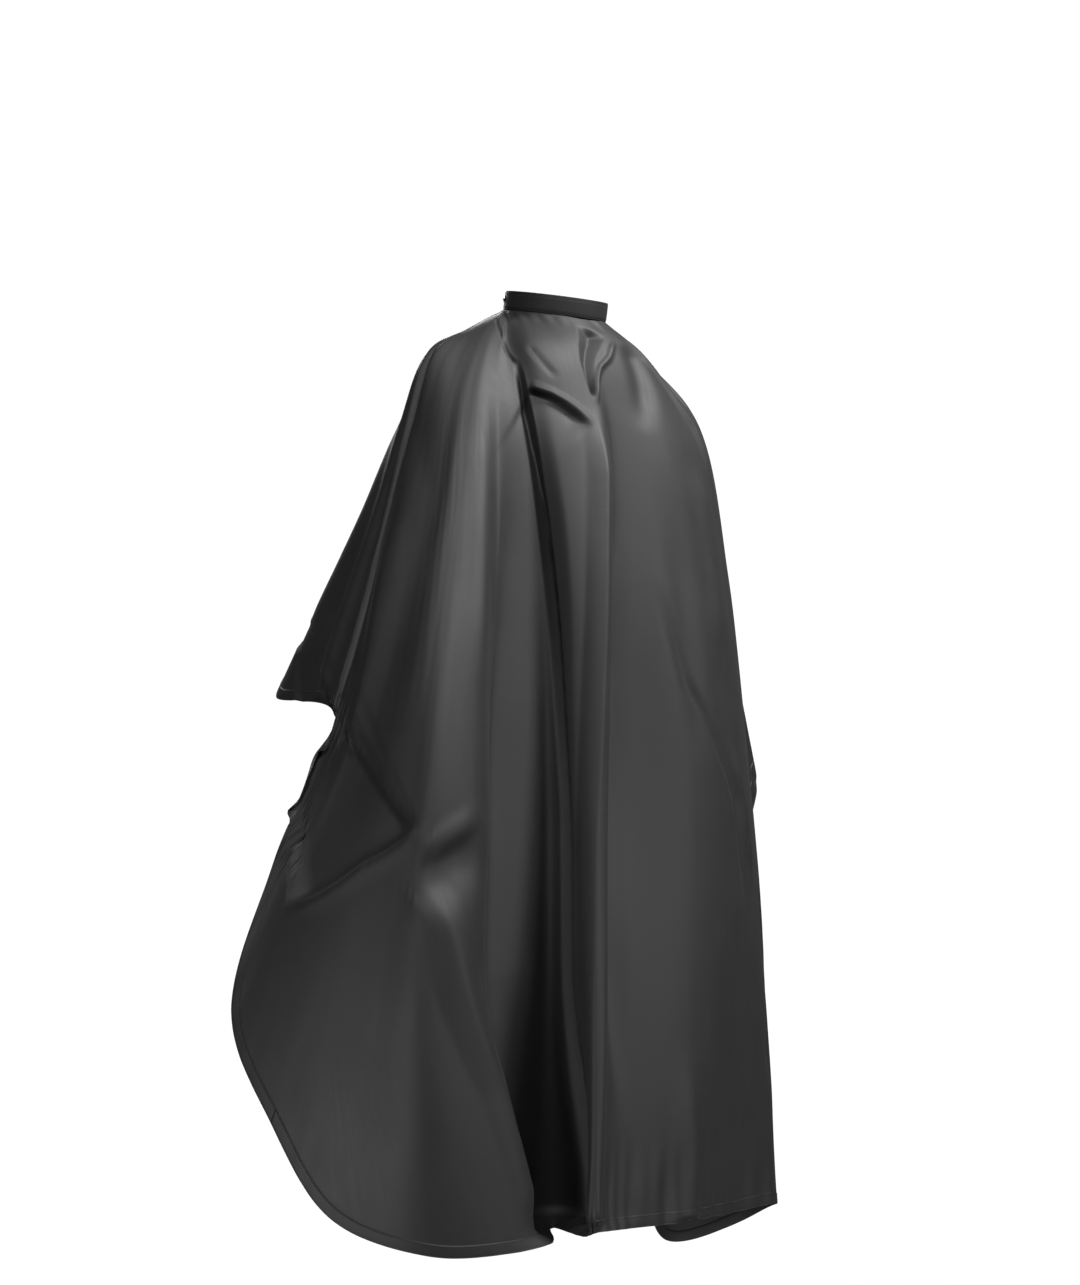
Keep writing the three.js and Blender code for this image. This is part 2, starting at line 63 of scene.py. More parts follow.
# ---------------------------------------------------------------- the drape
# Each rail: where it leaves the neckline, in degrees from the nape to the wearer's left, then its
# points down to the hem, in millimetres. They are the rails that the frame's cloth hangs on.
RAILS = {
    "rightSlit": [354, [-10, 84, -32], [-14, 102, -82], [-18, 114, -140], [-22, 120, -195],
        [-25, 124, -250], [-28, 127, -305]],
    "rightBack": [332, [-72, 76, -28], [-100, 98, -82], [-122, 114, -150], [-142, 122, -222],
        [-160, 128, -296], [-178, 132, -370]],
    "rightElbow": [316, [-118, 28, -36], [-172, 34, -92], [-212, 42, -172], [-248, 56, -268],
        [-292, 86, -382], [-330, 120, -490]],
    "rightShoulder": [307, [-128, 6, -34], [-182, -2, -66], [-216, -6, -160], [-252, -10, -285],
        [-296, -24, -410], [-340, -40, -520]],
    "wingTop": [303, [-126, -4, -34], [-180, -28, -84], [-228, -50, -210], [-286, -64, -362],
        [-336, -76, -532], [-408, -40, -690]],
    "wingCorner": [299, [-122, -12, -34], [-178, -48, -108], [-232, -88, -270], [-294, -112, -456],
        [-372, -88, -660], [-450, -20, -860]],
    "wingRound": [295, [-118, -18, -34], [-174, -62, -120], [-230, -112, -300], [-292, -152, -508],
        [-364, -134, -740], [-430, -84, -976]],
    "wingSide": [291, [-114, -24, -34], [-170, -72, -128], [-226, -132, -320], [-286, -184, -560],
        [-344, -182, -810], [-390, -152, -1076]],
    "wingHand": [287, [-110, -28, -36], [-162, -78, -132], [-214, -140, -340], [-298, -206, -640],
        [-316, -226, -870], [-310, -222, -1112]],
    "wingFront": [284, [-106, -32, -38], [-152, -80, -134], [-192, -142, -350], [-236, -204, -640],
        [-262, -226, -880], [-215, -236, -1118]],
    "wingEdge": [282, [-102, -36, -42], [-138, -80, -136], [-162, -136, -350], [-172, -176, -620],
        [-192, -206, -870], [-150, -228, -1114]],
    "valley": [279, [-98, -46, -56], [-102, -80, -128], [-92, -104, -330], [-94, -128, -600],
        [-104, -148, -860], [-112, -168, -1112]],
    "foldWall": [262, [-82, -72, -58], [-74, -100, -132], [-68, -140, -330], [-84, -172, -610],
        [-106, -208, -860], [-128, -252, -1106]],
    "frontFold": [232, [-42, -86, -60], [-14, -114, -140], [-26, -152, -330], [-54, -186, -610],
        [-88, -230, -860], [-124, -270, -1100]],
    "frontValley": [198, [-2, -88, -58], [10, -104, -132], [8, -126, -330], [-6, -152, -610],
        [-34, -206, -860], [-66, -252, -1104]],
    "chest": [150, [62, -78, -54], [96, -104, -160], [104, -134, -360], [98, -162, -610],
        [70, -196, -860], [34, -222, -1112]],
    "leftFront": [118, [108, -48, -52], [150, -84, -150], [184, -104, -350], [200, -122, -600],
        [172, -152, -860], [142, -174, -1120]],
    "leftArm": [86, [126, -24, -52], [185, -56, -130], [233, -58, -330], [288, -22, -590],
        [302, -34, -850], [250, -122, -1128]],
    "leftLobe": [74, [130, -15, -50], [189, -37, -124], [236, -41, -320], [284, 4, -600],
        [258, 34, -880], [176, 12, -1186]],
    "leftRound": [66, [131, -8, -50], [187, -22, -116], [232, -30, -296], [284, 22, -540],
        [284, 88, -780], [236, 112, -1010]],
    "leftSide": [60, [130, -2, -48], [182, -12, -104], [230, -18, -250], [284, 18, -440],
        [322, 66, -620], [312, 96, -810]],
    "leftShoulder": [53, [128, 10, -44], [180, 4, -80], [218, 4, -172], [258, 10, -300],
        [308, 28, -436], [360, 50, -584]],
    "leftElbow": [44, [118, 30, -46], [170, 38, -106], [212, 50, -190], [254, 74, -300],
        [302, 112, -424], [344, 148, -552]],
    "leftBack": [30, [72, 78, -30], [100, 100, -84], [124, 116, -152], [146, 126, -226],
        [166, 134, -304], [186, 140, -382]],
    "leftSlit": [14, [22, 84, -32], [24, 102, -82], [26, 114, -140], [29, 121, -195],
        [31, 125, -252], [33, 128, -310]],
}
RAIL_NAMES = list(RAILS)
RAIL_STEPS = len(RAIL_NAMES) - 1


def on_neckline(degrees, outward=0.0, height=0.0):
    """A point of the tilted ring that the cape hangs from."""
    turn = math.radians(degrees)
    x = (NECK_RADIUS + outward) * math.sin(turn)
    y = (NECK_RADIUS + outward) * math.cos(turn)
    lean, rise = math.cos(NECK_TILT), math.sin(NECK_TILT)
    return np.array([x, y * lean - height * rise, y * rise + height * lean])


def rail_knots(name):
    """A rail's points from the neckline down, with one more beyond each end."""
    turn, *points = RAILS[name]
    knots = np.vstack([on_neckline(turn, height=-NECK_SEAM), np.array(points) / 1000])
    return np.vstack([2 * knots[0] - knots[1], knots, 2 * knots[-1] - knots[-2]])


KNOTS = np.array([rail_knots(name) for name in RAIL_NAMES])


def between(before, start, end, after, share):
    """Centripetal spline from start to end, the curve that the frame's rails are drawn with."""
    def gap(a, b):
        return np.maximum(np.linalg.norm(b - a, axis=-1, keepdims=True), 1e-7) ** 0.5
    first, middle, last = gap(before, start), gap(start, end), gap(end, after)
    leave = (start - before) / first - (end - before) / (first + middle) + (end - start) / middle
    arrive = (end - start) / middle - (after - start) / (middle + last) + (after - end) / last
    leave, arrive = leave * middle, arrive * middle
    t = share[..., None]
    return (
        (2 * t**3 - 3 * t**2 + 1) * start + (t**3 - 2 * t**2 + t) * leave
        + (3 * t**2 - 2 * t**3) * end + (t**3 - t**2) * arrive
    )


def on_rail(rail, v):
    """Points at v on the rails of these numbers."""
    place = np.clip(v, 0, 1) * (KNOTS.shape[1] - 3)
    step = np.minimum(place.astype(int), KNOTS.shape[1] - 4)
    near = [KNOTS[rail, step + k] for k in range(4)]
    return between(*near, place - step)


def hanging(u, v):
    """The frame's cloth: u round from the slit's right edge to its left, v down to the hem."""
    u, v = np.broadcast_arrays(np.asarray(u, float), np.asarray(v, float))
    place = np.clip(u, 0, 1) * RAIL_STEPS
    step = np.minimum(place.astype(int), RAIL_STEPS - 1)
    start, end = on_rail(step, v), on_rail(step + 1, v)
    inner, last = (step > 0)[..., None], (step + 2 <= RAIL_STEPS)[..., None]
    before = np.where(inner, on_rail(np.maximum(step - 1, 0), v), 2 * start - end)
    after = np.where(last, on_rail(np.minimum(step + 2, RAIL_STEPS), v), 2 * end - start)
    return between(before, start, end, after, place - step)


# ---------------------------------------------------------------- folds
# Each fold is a line on the cloth, from (rail, v) to (rail, v), where a rail's number may fall
# between two rails. Lift is how far it rises, or sinks where negative, and width how wide, at the
# line's start and at its end. A soft fold is round, a crease has two flat faces, and a ledge
# changes only the cloth on the line's right side: its widths are of the drop and of the return.
SOFT, CREASE, LEDGE = "soft", "crease", "ledge"
NEAR_WIDTHS = 3.5  # a fold is felt within this many widths


def fold(kind, lift, width, *line, fade=(0.25, 0.25)):
    return {"kind": kind, "lift": lift, "width": width, "line": line, "fade": fade}


FOLDS = [
    # between the right wing and the front: one deep fold, from a thin crease under the neckband
    fold(CREASE, -0.003, 0.004, (7.4, 0.1), (10.46, 0.19), (11.15, 0.245), fade=(0.1, 0.1)),
    fold(CREASE, -0.026, (0.006, 0.016), (11.15, 0.22), (11.12, 0.34), (11.3, 0.5), (11.6, 0.68),
         (11.55, 0.85), (11.4, 1.0), fade=(0.08, 0.01)),
    # the front hangs from the chest over a slanting ledge, and in a pleat from the neckband's left
    fold(LEDGE, -0.010, (0.007, 0.028), (11.35, 0.312), (12.06, 0.323), (12.54, 0.345),
         (12.8, 0.362), fade=(0.05, 0.3)),
    fold(CREASE, 0.0035, 0.009, (11.4, 0.305), (12.06, 0.318), (12.54, 0.34), (12.9, 0.36), fade=(0.1, 0.2)),
    fold(CREASE, -0.0022, 0.008, (11.83, 0.168), (12.21, 0.255), (12.35, 0.28)),
    fold(CREASE, -0.010, (0.022, 0.003), (14.35, 0.07), (14.0, 0.15), (13.55, 0.22), (13.06, 0.31),
         fade=(0.1, 0.1)),
    fold(CREASE, 0.005, 0.006, (14.75, 0.12), (14.3, 0.2), (13.8, 0.26), (13.1, 0.33), fade=(0.2, 0.2)),
    fold(SOFT, -0.008, 0.018, (15.2, 0.12), (14.9, 0.24), (14.6, 0.35), fade=(0.2, 0.5)),
    # the front's middle: a flat-topped ridge with a furrow beside it
    fold(CREASE, 0.014, 0.024, (13.0, 0.33), (12.93, 0.45), (12.8, 0.6), (12.71, 0.71), (12.8, 0.9),
         (12.9, 1.0), fade=(0.1, 0.02)),
    fold(SOFT, -0.020, 0.019, (13.9, 0.42), (13.7, 0.6), (13.65, 0.75), (13.7, 0.95), fade=(0.3, 0.3)),
    # the left shoulder and arm
    fold(CREASE, 0.0045, 0.010, (15.12, 0.04), (15.6, 0.18), (16.4, 0.33), (16.6, 0.42)),
    fold(CREASE, -0.0045, 0.009, (15.9, 0.06), (16.3, 0.18), (16.9, 0.33)),
    fold(SOFT, 0.005, 0.024, (15.9, 0.36), (15.9, 0.47), (15.8, 0.56)),
    fold(SOFT, -0.006, 0.022, (14.8, 0.36), (15.0, 0.5), (15.1, 0.66), fade=(0.4, 0.4)),
    fold(CREASE, -0.007, 0.016, (14.6, 0.50), (15.0, 0.58), (15.5, 0.63), (15.9, 0.68), (16.2, 0.78)),
    fold(CREASE, 0.007, 0.012, (15.7, 0.62), (16.1, 0.69), (16.4, 0.76), fade=(0.3, 0.3)),
    fold(SOFT, -0.007, 0.014, (16.6, 0.74), (16.8, 0.84), (16.7, 0.92)),
    fold(SOFT, 0.006, 0.022, (14.9, 0.86), (15.1, 0.95), (15.1, 1.0), fade=(0.4, 0.02)),
    # the right wing: soft falls from the shoulder, and a hollow beside the deep fold
    fold(SOFT, 0.005, 0.022, (8.6, 0.25), (9.0, 0.42), (9.1, 0.52), (9.0, 0.6)),
    fold(SOFT, -0.042, (0.030, 0.052), (10.4, 0.36), (10.2, 0.6), (10.2, 0.8), (10.5, 1.0), fade=(0.5, 0.02)),
    # the hand lifts the cloth, which falls from it in one flat face between two creases
    fold(CREASE, 0.009, 0.022, (7.2, 0.71), (8.2, 0.685), (9.3, 0.66), fade=(0.4, 0.4)),
    fold(SOFT, -0.012, 0.030, (7.6, 0.76), (8.6, 0.70), (9.6, 0.69), fade=(0.4, 0.4)),
    fold(LEDGE, -0.018, (0.014, 0.200), (7.2, 0.715), (6.0, 0.80), (4.9, 0.91), fade=(0.15, 0.2)),
    fold(CREASE, 0.004, 0.022, (7.1, 0.72), (6.0, 0.80), (4.9, 0.91), fade=(0.1, 0.2)),
    fold(CREASE, 0.012, 0.040, (7.9, 0.70), (8.3, 0.725), (8.6, 0.75), (9.65, 0.875), (9.95, 0.985),
         fade=(0.2, 0.1)),
    # the pucker beside each shoulder seam, and the roll of the back beyond it
    fold(CREASE, -0.010, 0.008, (3.16, 0.2), (3.12, 0.6), (3.12, 1.0), fade=(0.2, 0.02)),
    fold(SOFT, 0.005, 0.012, (2.72, 0.2), (2.72, 0.6), (2.7, 1.0), fade=(0.2, 0.02)),
    fold(CREASE, -0.006, 0.008, (20.85, 0.2), (20.85, 0.6), (20.85, 1.0), fade=(0.2, 0.02)),
]


def rail_number(name):
    return RAIL_NAMES.index(name)


def spread_along(points, count):
    """Evenly spaced points along a line of a few."""
    lengths = np.concatenate([[0], np.cumsum(np.linalg.norm(np.diff(points, axis=0), axis=1))])
    places = np.linspace(0, lengths[-1], count)
    return np.stack([np.interp(places, lengths, axis) for axis in points.T], axis=1)


def lerp(start, end, share):
    return start + (end - start) * share


def smooth(share):
    share = np.clip(share, 0, 1)
    return share * share * (3 - 2 * share)


def fold_lift(cloth, outward, fold):
    """How far one fold lifts each point of the cloth."""
    rails, downs = np.array(fold["line"]).T
    share = np.linspace(0, 1, 200)
    knots = np.linspace(0, 1, len(rails))
    line = hanging(np.interp(share, knots, rails) / RAIL_STEPS, np.interp(share, knots, downs))
    spots = spread_along(line, 40)
    widths = np.broadcast_to(fold["width"], 2)
    reach = max(widths) * NEAR_WIDTHS + 0.01
    flat, normals = cloth.reshape(-1, 3), outward.reshape(-1, 3)
    near = np.all((flat > spots.min(0) - reach) & (flat < spots.max(0) + reach), axis=1)
    flat, normals = flat[near], normals[near]
    best, share, side = np.full(len(flat), np.inf), np.zeros(len(flat)), np.zeros(len(flat))
    for k in range(len(spots) - 1):
        start, leg = spots[k], spots[k + 1] - spots[k]
        along = np.clip((flat - start) @ leg / (leg @ leg), 0, 1)
        offset = flat - start - along[:, None] * leg
        away = np.linalg.norm(offset, axis=1)
        closer = away < best
        best = np.where(closer, away, best)
        share = np.where(closer, (k + along) / (len(spots) - 1), share)
        right = np.einsum("ij,ij->i", offset, np.cross(leg, normals))
        side = np.where(closer, np.sign(right), side)
    fade_in, fade_out = fold["fade"]
    ends = smooth(share / fade_in) * smooth((1 - share) / fade_out)
    apart = best / lerp(widths[0], widths[1], share)
    shape = {
        SOFT: lambda: np.exp(-apart ** 2),
        CREASE: lambda: np.hypot(np.maximum(0, 1 - apart), 0.12) - 0.12,
        LEDGE: lambda: smooth(0.2 + side * best / widths[0]) * np.exp(-best / widths[1]),
    }[fold["kind"]]()
    lift = np.zeros(cloth.shape[:-1]).ravel()
    lift[near] = fold["lift"] * ends * shape
    return lift.reshape(cloth.shape[:-1])


def unit(vectors):
    return vectors / np.maximum(np.linalg.norm(vectors, axis=-1, keepdims=True), 1e-12)


def facing(points):
    """Outward normals of a grid of points: first index round, second down."""
    return unit(np.cross(np.gradient(points, axis=1), np.gradient(points, axis=0)))


# ---------------------------------------------------------------- the cloth as one grid
GRID_ROUND, GRID_DOWN = 577, 241
WAVES = 40  # how many waves each set of ripples is made of
FURTHEST_HEM = 0.14  # the most of v that a hem may take up
GIRTH, LENGTH = 2.6, 1.1  # the cloth's mean way round and way down, for its ripples
EASE = 0.9  # rails over which the wing's turns are eased
EASED_RAILS = (4.8, 10.6)


def metres_on(points):
    """Cloth coordinates of a grid: distance round and distance down, in metres."""
    around = np.linalg.norm(np.diff(points, axis=0), axis=-1)
    down = np.linalg.norm(np.diff(points, axis=1), axis=-1)
    x = np.concatenate([np.zeros((1, points.shape[1])), np.cumsum(around, axis=0)])
    y = np.concatenate([np.zeros((points.shape[0], 1)), np.cumsum(down, axis=1)], axis=1)
    return np.stack([x - x[len(x) // 2], -y], axis=-1)


def ripples(place, across, down, seed):
    """Soft uneven waves, this long across the cloth and this long down it."""
    rng = np.random.default_rng(seed)
    turns = rng.uniform(0, 2 * math.pi, WAVES)
    phases = rng.uniform(0, 2 * math.pi, WAVES)
    pace = rng.uniform(0.6, 1.5, WAVES)
    total = np.zeros(place.shape[:-1])
    for turn, phase, speed in zip(turns, phases, pace):
        way = place[..., 0] / across * math.cos(turn) + place[..., 1] / down * math.sin(turn)
        total += np.sin(2 * math.pi * speed * way + phase)
    return total / math.sqrt(WAVES)


def softened(points, u, v):
    """The cloth with its turns eased over the right wing, short of the neckline and the hem."""
    spread = EASE / RAIL_STEPS * (GRID_ROUND - 1)
    reach = int(2.5 * spread)
    kernel = np.exp(-(np.arange(-reach, reach + 1) / spread) ** 2 / 2)
    kernel /= kernel.sum()
    padded = np.pad(points, ((reach, reach), (0, 0), (0, 0)), mode="edge")
    eased = sum(weight * padded[k:k + len(points)] for k, weight in enumerate(kernel))
    rail = u * RAIL_STEPS
    share = smooth((rail - EASED_RAILS[0]) / 1.5) * smooth((EASED_RAILS[1] - rail) / 1.2)
    share = share * smooth(v / 0.15) * smooth((0.95 - v) / 0.3)
    return points + (eased - points) * share[..., None]


def drape_cloth():
    u = np.linspace(0, 1, GRID_ROUND)[:, None]
    v = np.linspace(0, 1, GRID_DOWN)[None, :]
    base = softened(hanging(u, v), u, v)
    outward = facing(base)
    place = np.stack(np.broadcast_arrays(u * GIRTH, v * LENGTH), axis=-1)
    lift = sum(fold_lift(base, outward, line) for line in FOLDS)
    # long falls, a fine unevenness, gathers under the neckband, and puckers at the front of the hem
    lift = lift + 0.0011 * smooth((v - 0.12) / 0.35) * ripples(place, 0.19, 0.9, 3)
    lift = lift + 0.00008 * smooth((v - 0.25) / 0.3) * ripples(place, 0.05, 0.12, 5)
    gathered = smooth(v / 0.02) * smooth(1 - v / 0.12)
    lift = lift + 0.0006 * gathered * ripples(metres_on(base), 0.020, 0.06, 7)
    puckered = 0.15 + smooth((u * RAIL_STEPS - 11) / 1.5) * smooth((18 - u * RAIL_STEPS) / 1.5)
    lift = lift + 0.0013 * puckered * smooth((v - 0.92) / 0.08) * ripples(place, 0.034, 0.12, 9)
    return base + outward * lift[..., None]


CLOTH_GRID = drape_cloth()


def cloth_at(u, v):
    """A point of the draped cloth, smoothly between the points of its grid."""
    u, v = np.broadcast_arrays(np.asarray(u, float), np.asarray(v, float))
    x = np.clip(u, 0, 1) * (GRID_ROUND - 1)
    y = np.clip(v, 0, 1) * (GRID_DOWN - 1)
    i = np.clip(x.astype(int), 0, GRID_ROUND - 2)
    j = np.clip(y.astype(int), 0, GRID_DOWN - 2)

    def weights(t):
        return [
            (-t**3 + 2 * t**2 - t) / 2, (3 * t**3 - 5 * t**2 + 2) / 2,
            (-3 * t**3 + 4 * t**2 + t) / 2, (t**3 - t**2) / 2,
        ]
    total = np.zeros(u.shape + (3,))
    for a, round_weight in enumerate(weights(x - i)):
        for b, down_weight in enumerate(weights(y - j)):
            column = np.clip(i + a - 1, 0, GRID_ROUND - 1)
            row = np.clip(j + b - 1, 0, GRID_DOWN - 1)
            total += (round_weight * down_weight)[..., None] * CLOTH_GRID[column, row]
    return total


def round_from(u, v, distance):
    """The u that lies this far round from u at each v."""
    v = np.asarray(v, float)
    start = cloth_at(u, v)
    step = np.full(v.shape, math.copysign(0.01, distance))
    for _ in range(5):
        gone = np.linalg.norm(cloth_at(u + step, v) - start, axis=-1)
        step = np.clip(step * abs(distance) / np.maximum(gone, 1e-9), -0.15, 0.15)
    return u + step


def above_hem(u, distance):
    """The v of the line that runs this far inside the hem's edge."""
    step = 5e-3
    run_out = FURTHEST_HEM / HEM_WIDTH
    around = hanging(np.minimum(u + step, 1), 1.0) - hanging(np.maximum(u - step, 0), 1.0)
    down = hanging(u, 1.0) - hanging(u, 1 - step)
    square = np.linalg.norm(np.cross(down, around), axis=-1)
    share = step * np.linalg.norm(around, axis=-1) / np.maximum(square, 1e-12)
    return 1 - distance * np.minimum(share, run_out)


def rail_u(name):
    return rail_number(name) / RAIL_STEPS


def on_the_rail(name):
    return lambda v: 0 * v + rail_u(name)


def beside(name, distance):
    return lambda v: round_from(rail_u(name), v, distance)


def patch(side_from, side_to, top, bottom, across, down):
    """u and v of a grid between two side lines u(v) and two cross lines v(u)."""
    a = np.linspace(0, 1, across + 1)[:, None]
    b = np.linspace(0, 1, down + 1)[None, :]
    v = b + 0 * a
    u = None
    for _ in range(3):
        start, end = side_from(v), side_to(v)
        u = start + (end - start) * a
        upper, lower = top(u), bottom(u)
        v = upper + (lower - upper) * b
    return u, v


# ---------------------------------------------------------------- meshes
def add_object(name, points, faces, material, uvs=None, rounded=True):
    mesh = bpy.data.meshes.new(name)
    mesh.from_pydata([tuple(p) for p in points], [], [tuple(f) for f in faces])
    if uvs is not None:
        layer = mesh.uv_layers.new(name="cloth")
        corners = np.array([loop.vertex_index for loop in mesh.loops])
        layer.data.foreach_set("uv", np.asarray(uvs)[corners].astype(np.float32).ravel())
    mesh.polygons.foreach_set("use_smooth", [rounded] * len(mesh.polygons))
    mesh.update()
    piece = bpy.data.objects.new(name, mesh)
    bpy.context.scene.collection.objects.link(piece)
    piece.data.materials.append(material)
    return piece


def grid_faces(across, down, offset=0, flip=False):
    i, j = np.meshgrid(np.arange(across), np.arange(down), indexing="ij")
    a = (i * (down + 1) + j).ravel() + offset
    quads = np.stack([a, a + 1, a + down + 2, a + down + 1], axis=1)
    return quads[:, ::-1] if flip else quads


def open_sheet(name, points, material):
    """One layer of cloth on a grid of points."""
    across, down = points.shape[0] - 1, points.shape[1] - 1
    uvs = metres_on(points).reshape(-1, 2)
    return add_object(name, points.reshape(-1, 3), grid_faces(across, down), material, uvs)


def closed_strip(name, outer, inner, material):
    """A closed piece between an outer and an inner grid."""
    across, down = outer.shape[0] - 1, outer.shape[1] - 1
    count = (across + 1) * (down + 1)
    rim = [(i, 0) for i in range(across)] + [(across, j) for j in range(down)]
    rim += [(i, down) for i in range(across, 0, -1)] + [(0, j) for j in range(down, 0, -1)]
    ring = [i * (down + 1) + j for i, j in rim]
    walls = [(a, b, b + count, a + count) for a, b in zip(ring, ring[1:] + ring[:1])]
    faces = [*grid_faces(across, down), *grid_faces(across, down, count, flip=True), *walls]
    uvs = metres_on(outer).reshape(-1, 2)
    points = np.vstack([outer.reshape(-1, 3), inner.reshape(-1, 3)])
    return add_object(name, points, faces, material, np.vstack([uvs, uvs]))


# ---------------------------------------------------------------- shader writing
class Wire:
    """A socket of a node tree, so that shader maths reads as Python expressions."""

    def __init__(self, finish, socket):
        self.finish, self.socket = finish, socket

    def math(self, operation, other):
        return self.finish.node("ShaderNodeMath", {"operation": operation}, {0: self, 1: other})

    def __add__(self, other):
        return self.math("ADD", other)

    def __mul__(self, other):
        return self.math("MULTIPLY", other)

    __radd__, __rmul__ = __add__, __mul__


class Finish:
    """A procedural material: constants go on the shader's own sockets, patterns through Wires."""

    def __init__(self, name, **constants):
        self.material = bpy.data.materials.new(name)
        self.material.use_nodes = True
        self.tree = self.material.node_tree
        self.shader = self.tree.nodes["Principled BSDF"]
        for name, value in constants.items():
            socket = name.replace("_", " ").title().replace("Ior", "IOR")
            self.shader.inputs[socket].default_value = value

    def node(self, kind, settings=None, inputs=None, output=0):
        """The chosen output of a new node, with its settings made first and then its sockets."""
        made = self.tree.nodes.new(kind)
        for name, value in (settings or {}).items():
            setattr(made, name, value)
        for name, value in (inputs or {}).items():
            if isinstance(value, Wire):
                self.tree.links.new(value.socket, made.inputs[name])
            else:
                made.inputs[name].default_value = value
        return Wire(self, made.outputs[output])

    def feed(self, socket, wire):
        self.tree.links.new(wire.socket, self.shader.inputs[socket])

    def cloth_place(self, across=1.0, down=1.0):
        """Metres on the cloth itself, scaled each way."""
        place = self.node("ShaderNodeUVMap", {"uv_map": "cloth"})
        return self.node(
            "ShaderNodeVectorMath", {"operation": "MULTIPLY"}, {0: place, 1: (across, down, 1)}
        )

    def space_place(self):
        return self.node("ShaderNodeTexCoord", output="Object")

    def noise(self, place, scale, detail=2.0, roughness=0.5):
        return self.node(
            "ShaderNodeTexNoise", {},
            {"Vector": place, "Scale": scale, "Detail": detail, "Roughness": roughness},
        )

    def waves(self, place, scale, direction):
        return self.node(
            "ShaderNodeTexWave",
            {"wave_type": "BANDS", "bands_direction": direction, "wave_profile": "SIN"},
            {"Vector": place, "Scale": scale, "Distortion": 0.0},
        )

    def mix(self, share, start, end):
        """A colour between two colours."""
        made = self.tree.nodes.new("ShaderNodeMix")
        made.data_type = "RGBA"
        for name, value in (("Factor", share), ("A", start), ("B", end)):
            socket = next(s for s in made.inputs if s.name == name and s.enabled)
            if isinstance(value, Wire):
                self.tree.links.new(value.socket, socket)
            else:
                socket.default_value = value
        return Wire(self, next(s for s in made.outputs if s.enabled))

    def bump(self, height, strength, distance):
        self.feed("Normal", self.node(
            "ShaderNodeBump", {}, {"Height": height, "Strength": strength, "Distance": distance}
        ))


def grey(value):
    """A grey with a breath of blue."""
    return (value, value, value * 1.03, 1.0)


def taffeta(name, darkness=1.0):
    """Black polyester taffeta: a fine plain weave with a satin sheen."""
    cloth = Finish(name, specular_ior_level=0.5, sheen_weight=0.06, sheen_roughness=0.4)
    cloth.shader.inputs["Sheen Tint"].default_value = grey(0.6)
    streaks = cloth.noise(cloth.cloth_place(260, 9), 1.0, 3.0, 0.6)
    slubs = cloth.noise(cloth.cloth_place(12, 420), 1.0, 2.0, 0.5)
    mottle = cloth.noise(cloth.space_place(), 14.0, 3.0)
    warp = cloth.waves(cloth.cloth_place(1, 1), 330.0, "X")
    weft = cloth.waves(cloth.cloth_place(1, 1), 330.0, "Y")
    shade = streaks * 0.35 + slubs * 0.2 + mottle * 0.45
    cloth.feed("Base Color", cloth.mix(shade, grey(0.012 * darkness), grey(0.026 * darkness)))
    cloth.feed("Roughness", 0.50 + streaks * 0.1 + mottle * 0.12)
    cloth.bump(warp * 0.5 + weft * 0.5 + streaks * 0.2 + slubs * 0.12, 0.3, 0.0001)
    return cloth.material


def sewing_thread():
    thread = Finish("sewing_thread", specular_ior_level=0.3)
    twist = thread.waves(thread.space_place(), 900.0, "DIAGONAL")
    thread.feed("Base Color", thread.mix(twist, grey(0.006), grey(0.016)))
    thread.feed("Roughness", 0.5 + twist * 0.15)
    return thread.material


def stud_plastic():
    plastic = Finish("stud_plastic", specular_ior_level=0.5)
    speckle = plastic.noise(plastic.space_place(), 900.0, 3.0)
    scuffs = plastic.noise(plastic.space_place(), 240.0, 4.0, 0.7)
    plastic.feed("Base Color", plastic.mix(speckle, grey(0.010), grey(0.022)))
    plastic.feed("Roughness", 0.2 + scuffs * 0.25)
    plastic.bump(speckle, 0.15, 0.00005)
    return plastic.material


def stiffener_felt():
    felt = Finish("stiffener_felt", specular_ior_level=0.2)
    fibres = felt.noise(felt.space_place(), 700.0, 5.0, 0.7)
    felt.feed("Base Color", felt.mix(fibres, (0.55, 0.53, 0.49, 1), (0.82, 0.8, 0.76, 1)))
    felt.feed("Roughness", 0.8 + fibres * 0.15)
    felt.bump(fibres, 0.5, 0.0003)
    return felt.material


def label_satin():
    label = Finish("label_satin", specular_ior_level=0.4, sheen_weight=0.1)
    ribs = label.waves(label.cloth_place(), 420.0, "Y")
    mottle = label.noise(label.space_place(), 60.0, 3.0)
    label.feed("Base Color", label.mix(mottle, (0.62, 0.6, 0.56, 1), (0.8, 0.79, 0.75, 1)))
    label.feed("Roughness", 0.42 + ribs * 0.15)
    label.bump(ribs, 0.4, 0.00015)
    return label.material


TAFFETA = taffeta("taffeta")
HEM_TAFFETA = taffeta("hem_taffeta", 0.92)
BAND_TAFFETA = taffeta("band_taffeta", 0.9)
THREAD_FINISH = sewing_thread()
STUD_FINISH = stud_plastic()
FELT_FINISH = stiffener_felt()
LABEL_FINISH = label_satin()


# ---------------------------------------------------------------- cloth pieces
def neck_edge(u):
    return 0 * u


def hem_edge(u):
    return 0 * u + 1


def hem_top(u):
    return above_hem(u, HEM_WIDTH)


def sewn_strip(name, u, v, material):
    """A doubled strip of cloth with full, rounded edges, on a grid of u and v."""
    points = cloth_at(u, v)
    normals = facing(points)
    across, down = points.shape[:2]
    if down < across:
        width_axis = np.linspace(-1, 1, down)[None, :]
    else:
        width_axis = np.linspace(-1, 1, across)[:, None]
    fullness = (1 - np.abs(width_axis) ** 6) ** 0.5 * HEM_THICKNESS / 2
    swell = np.broadcast_to(fullness, points.shape[:2])[..., None] * normals
    return closed_strip(name, points + swell, points - swell, material)


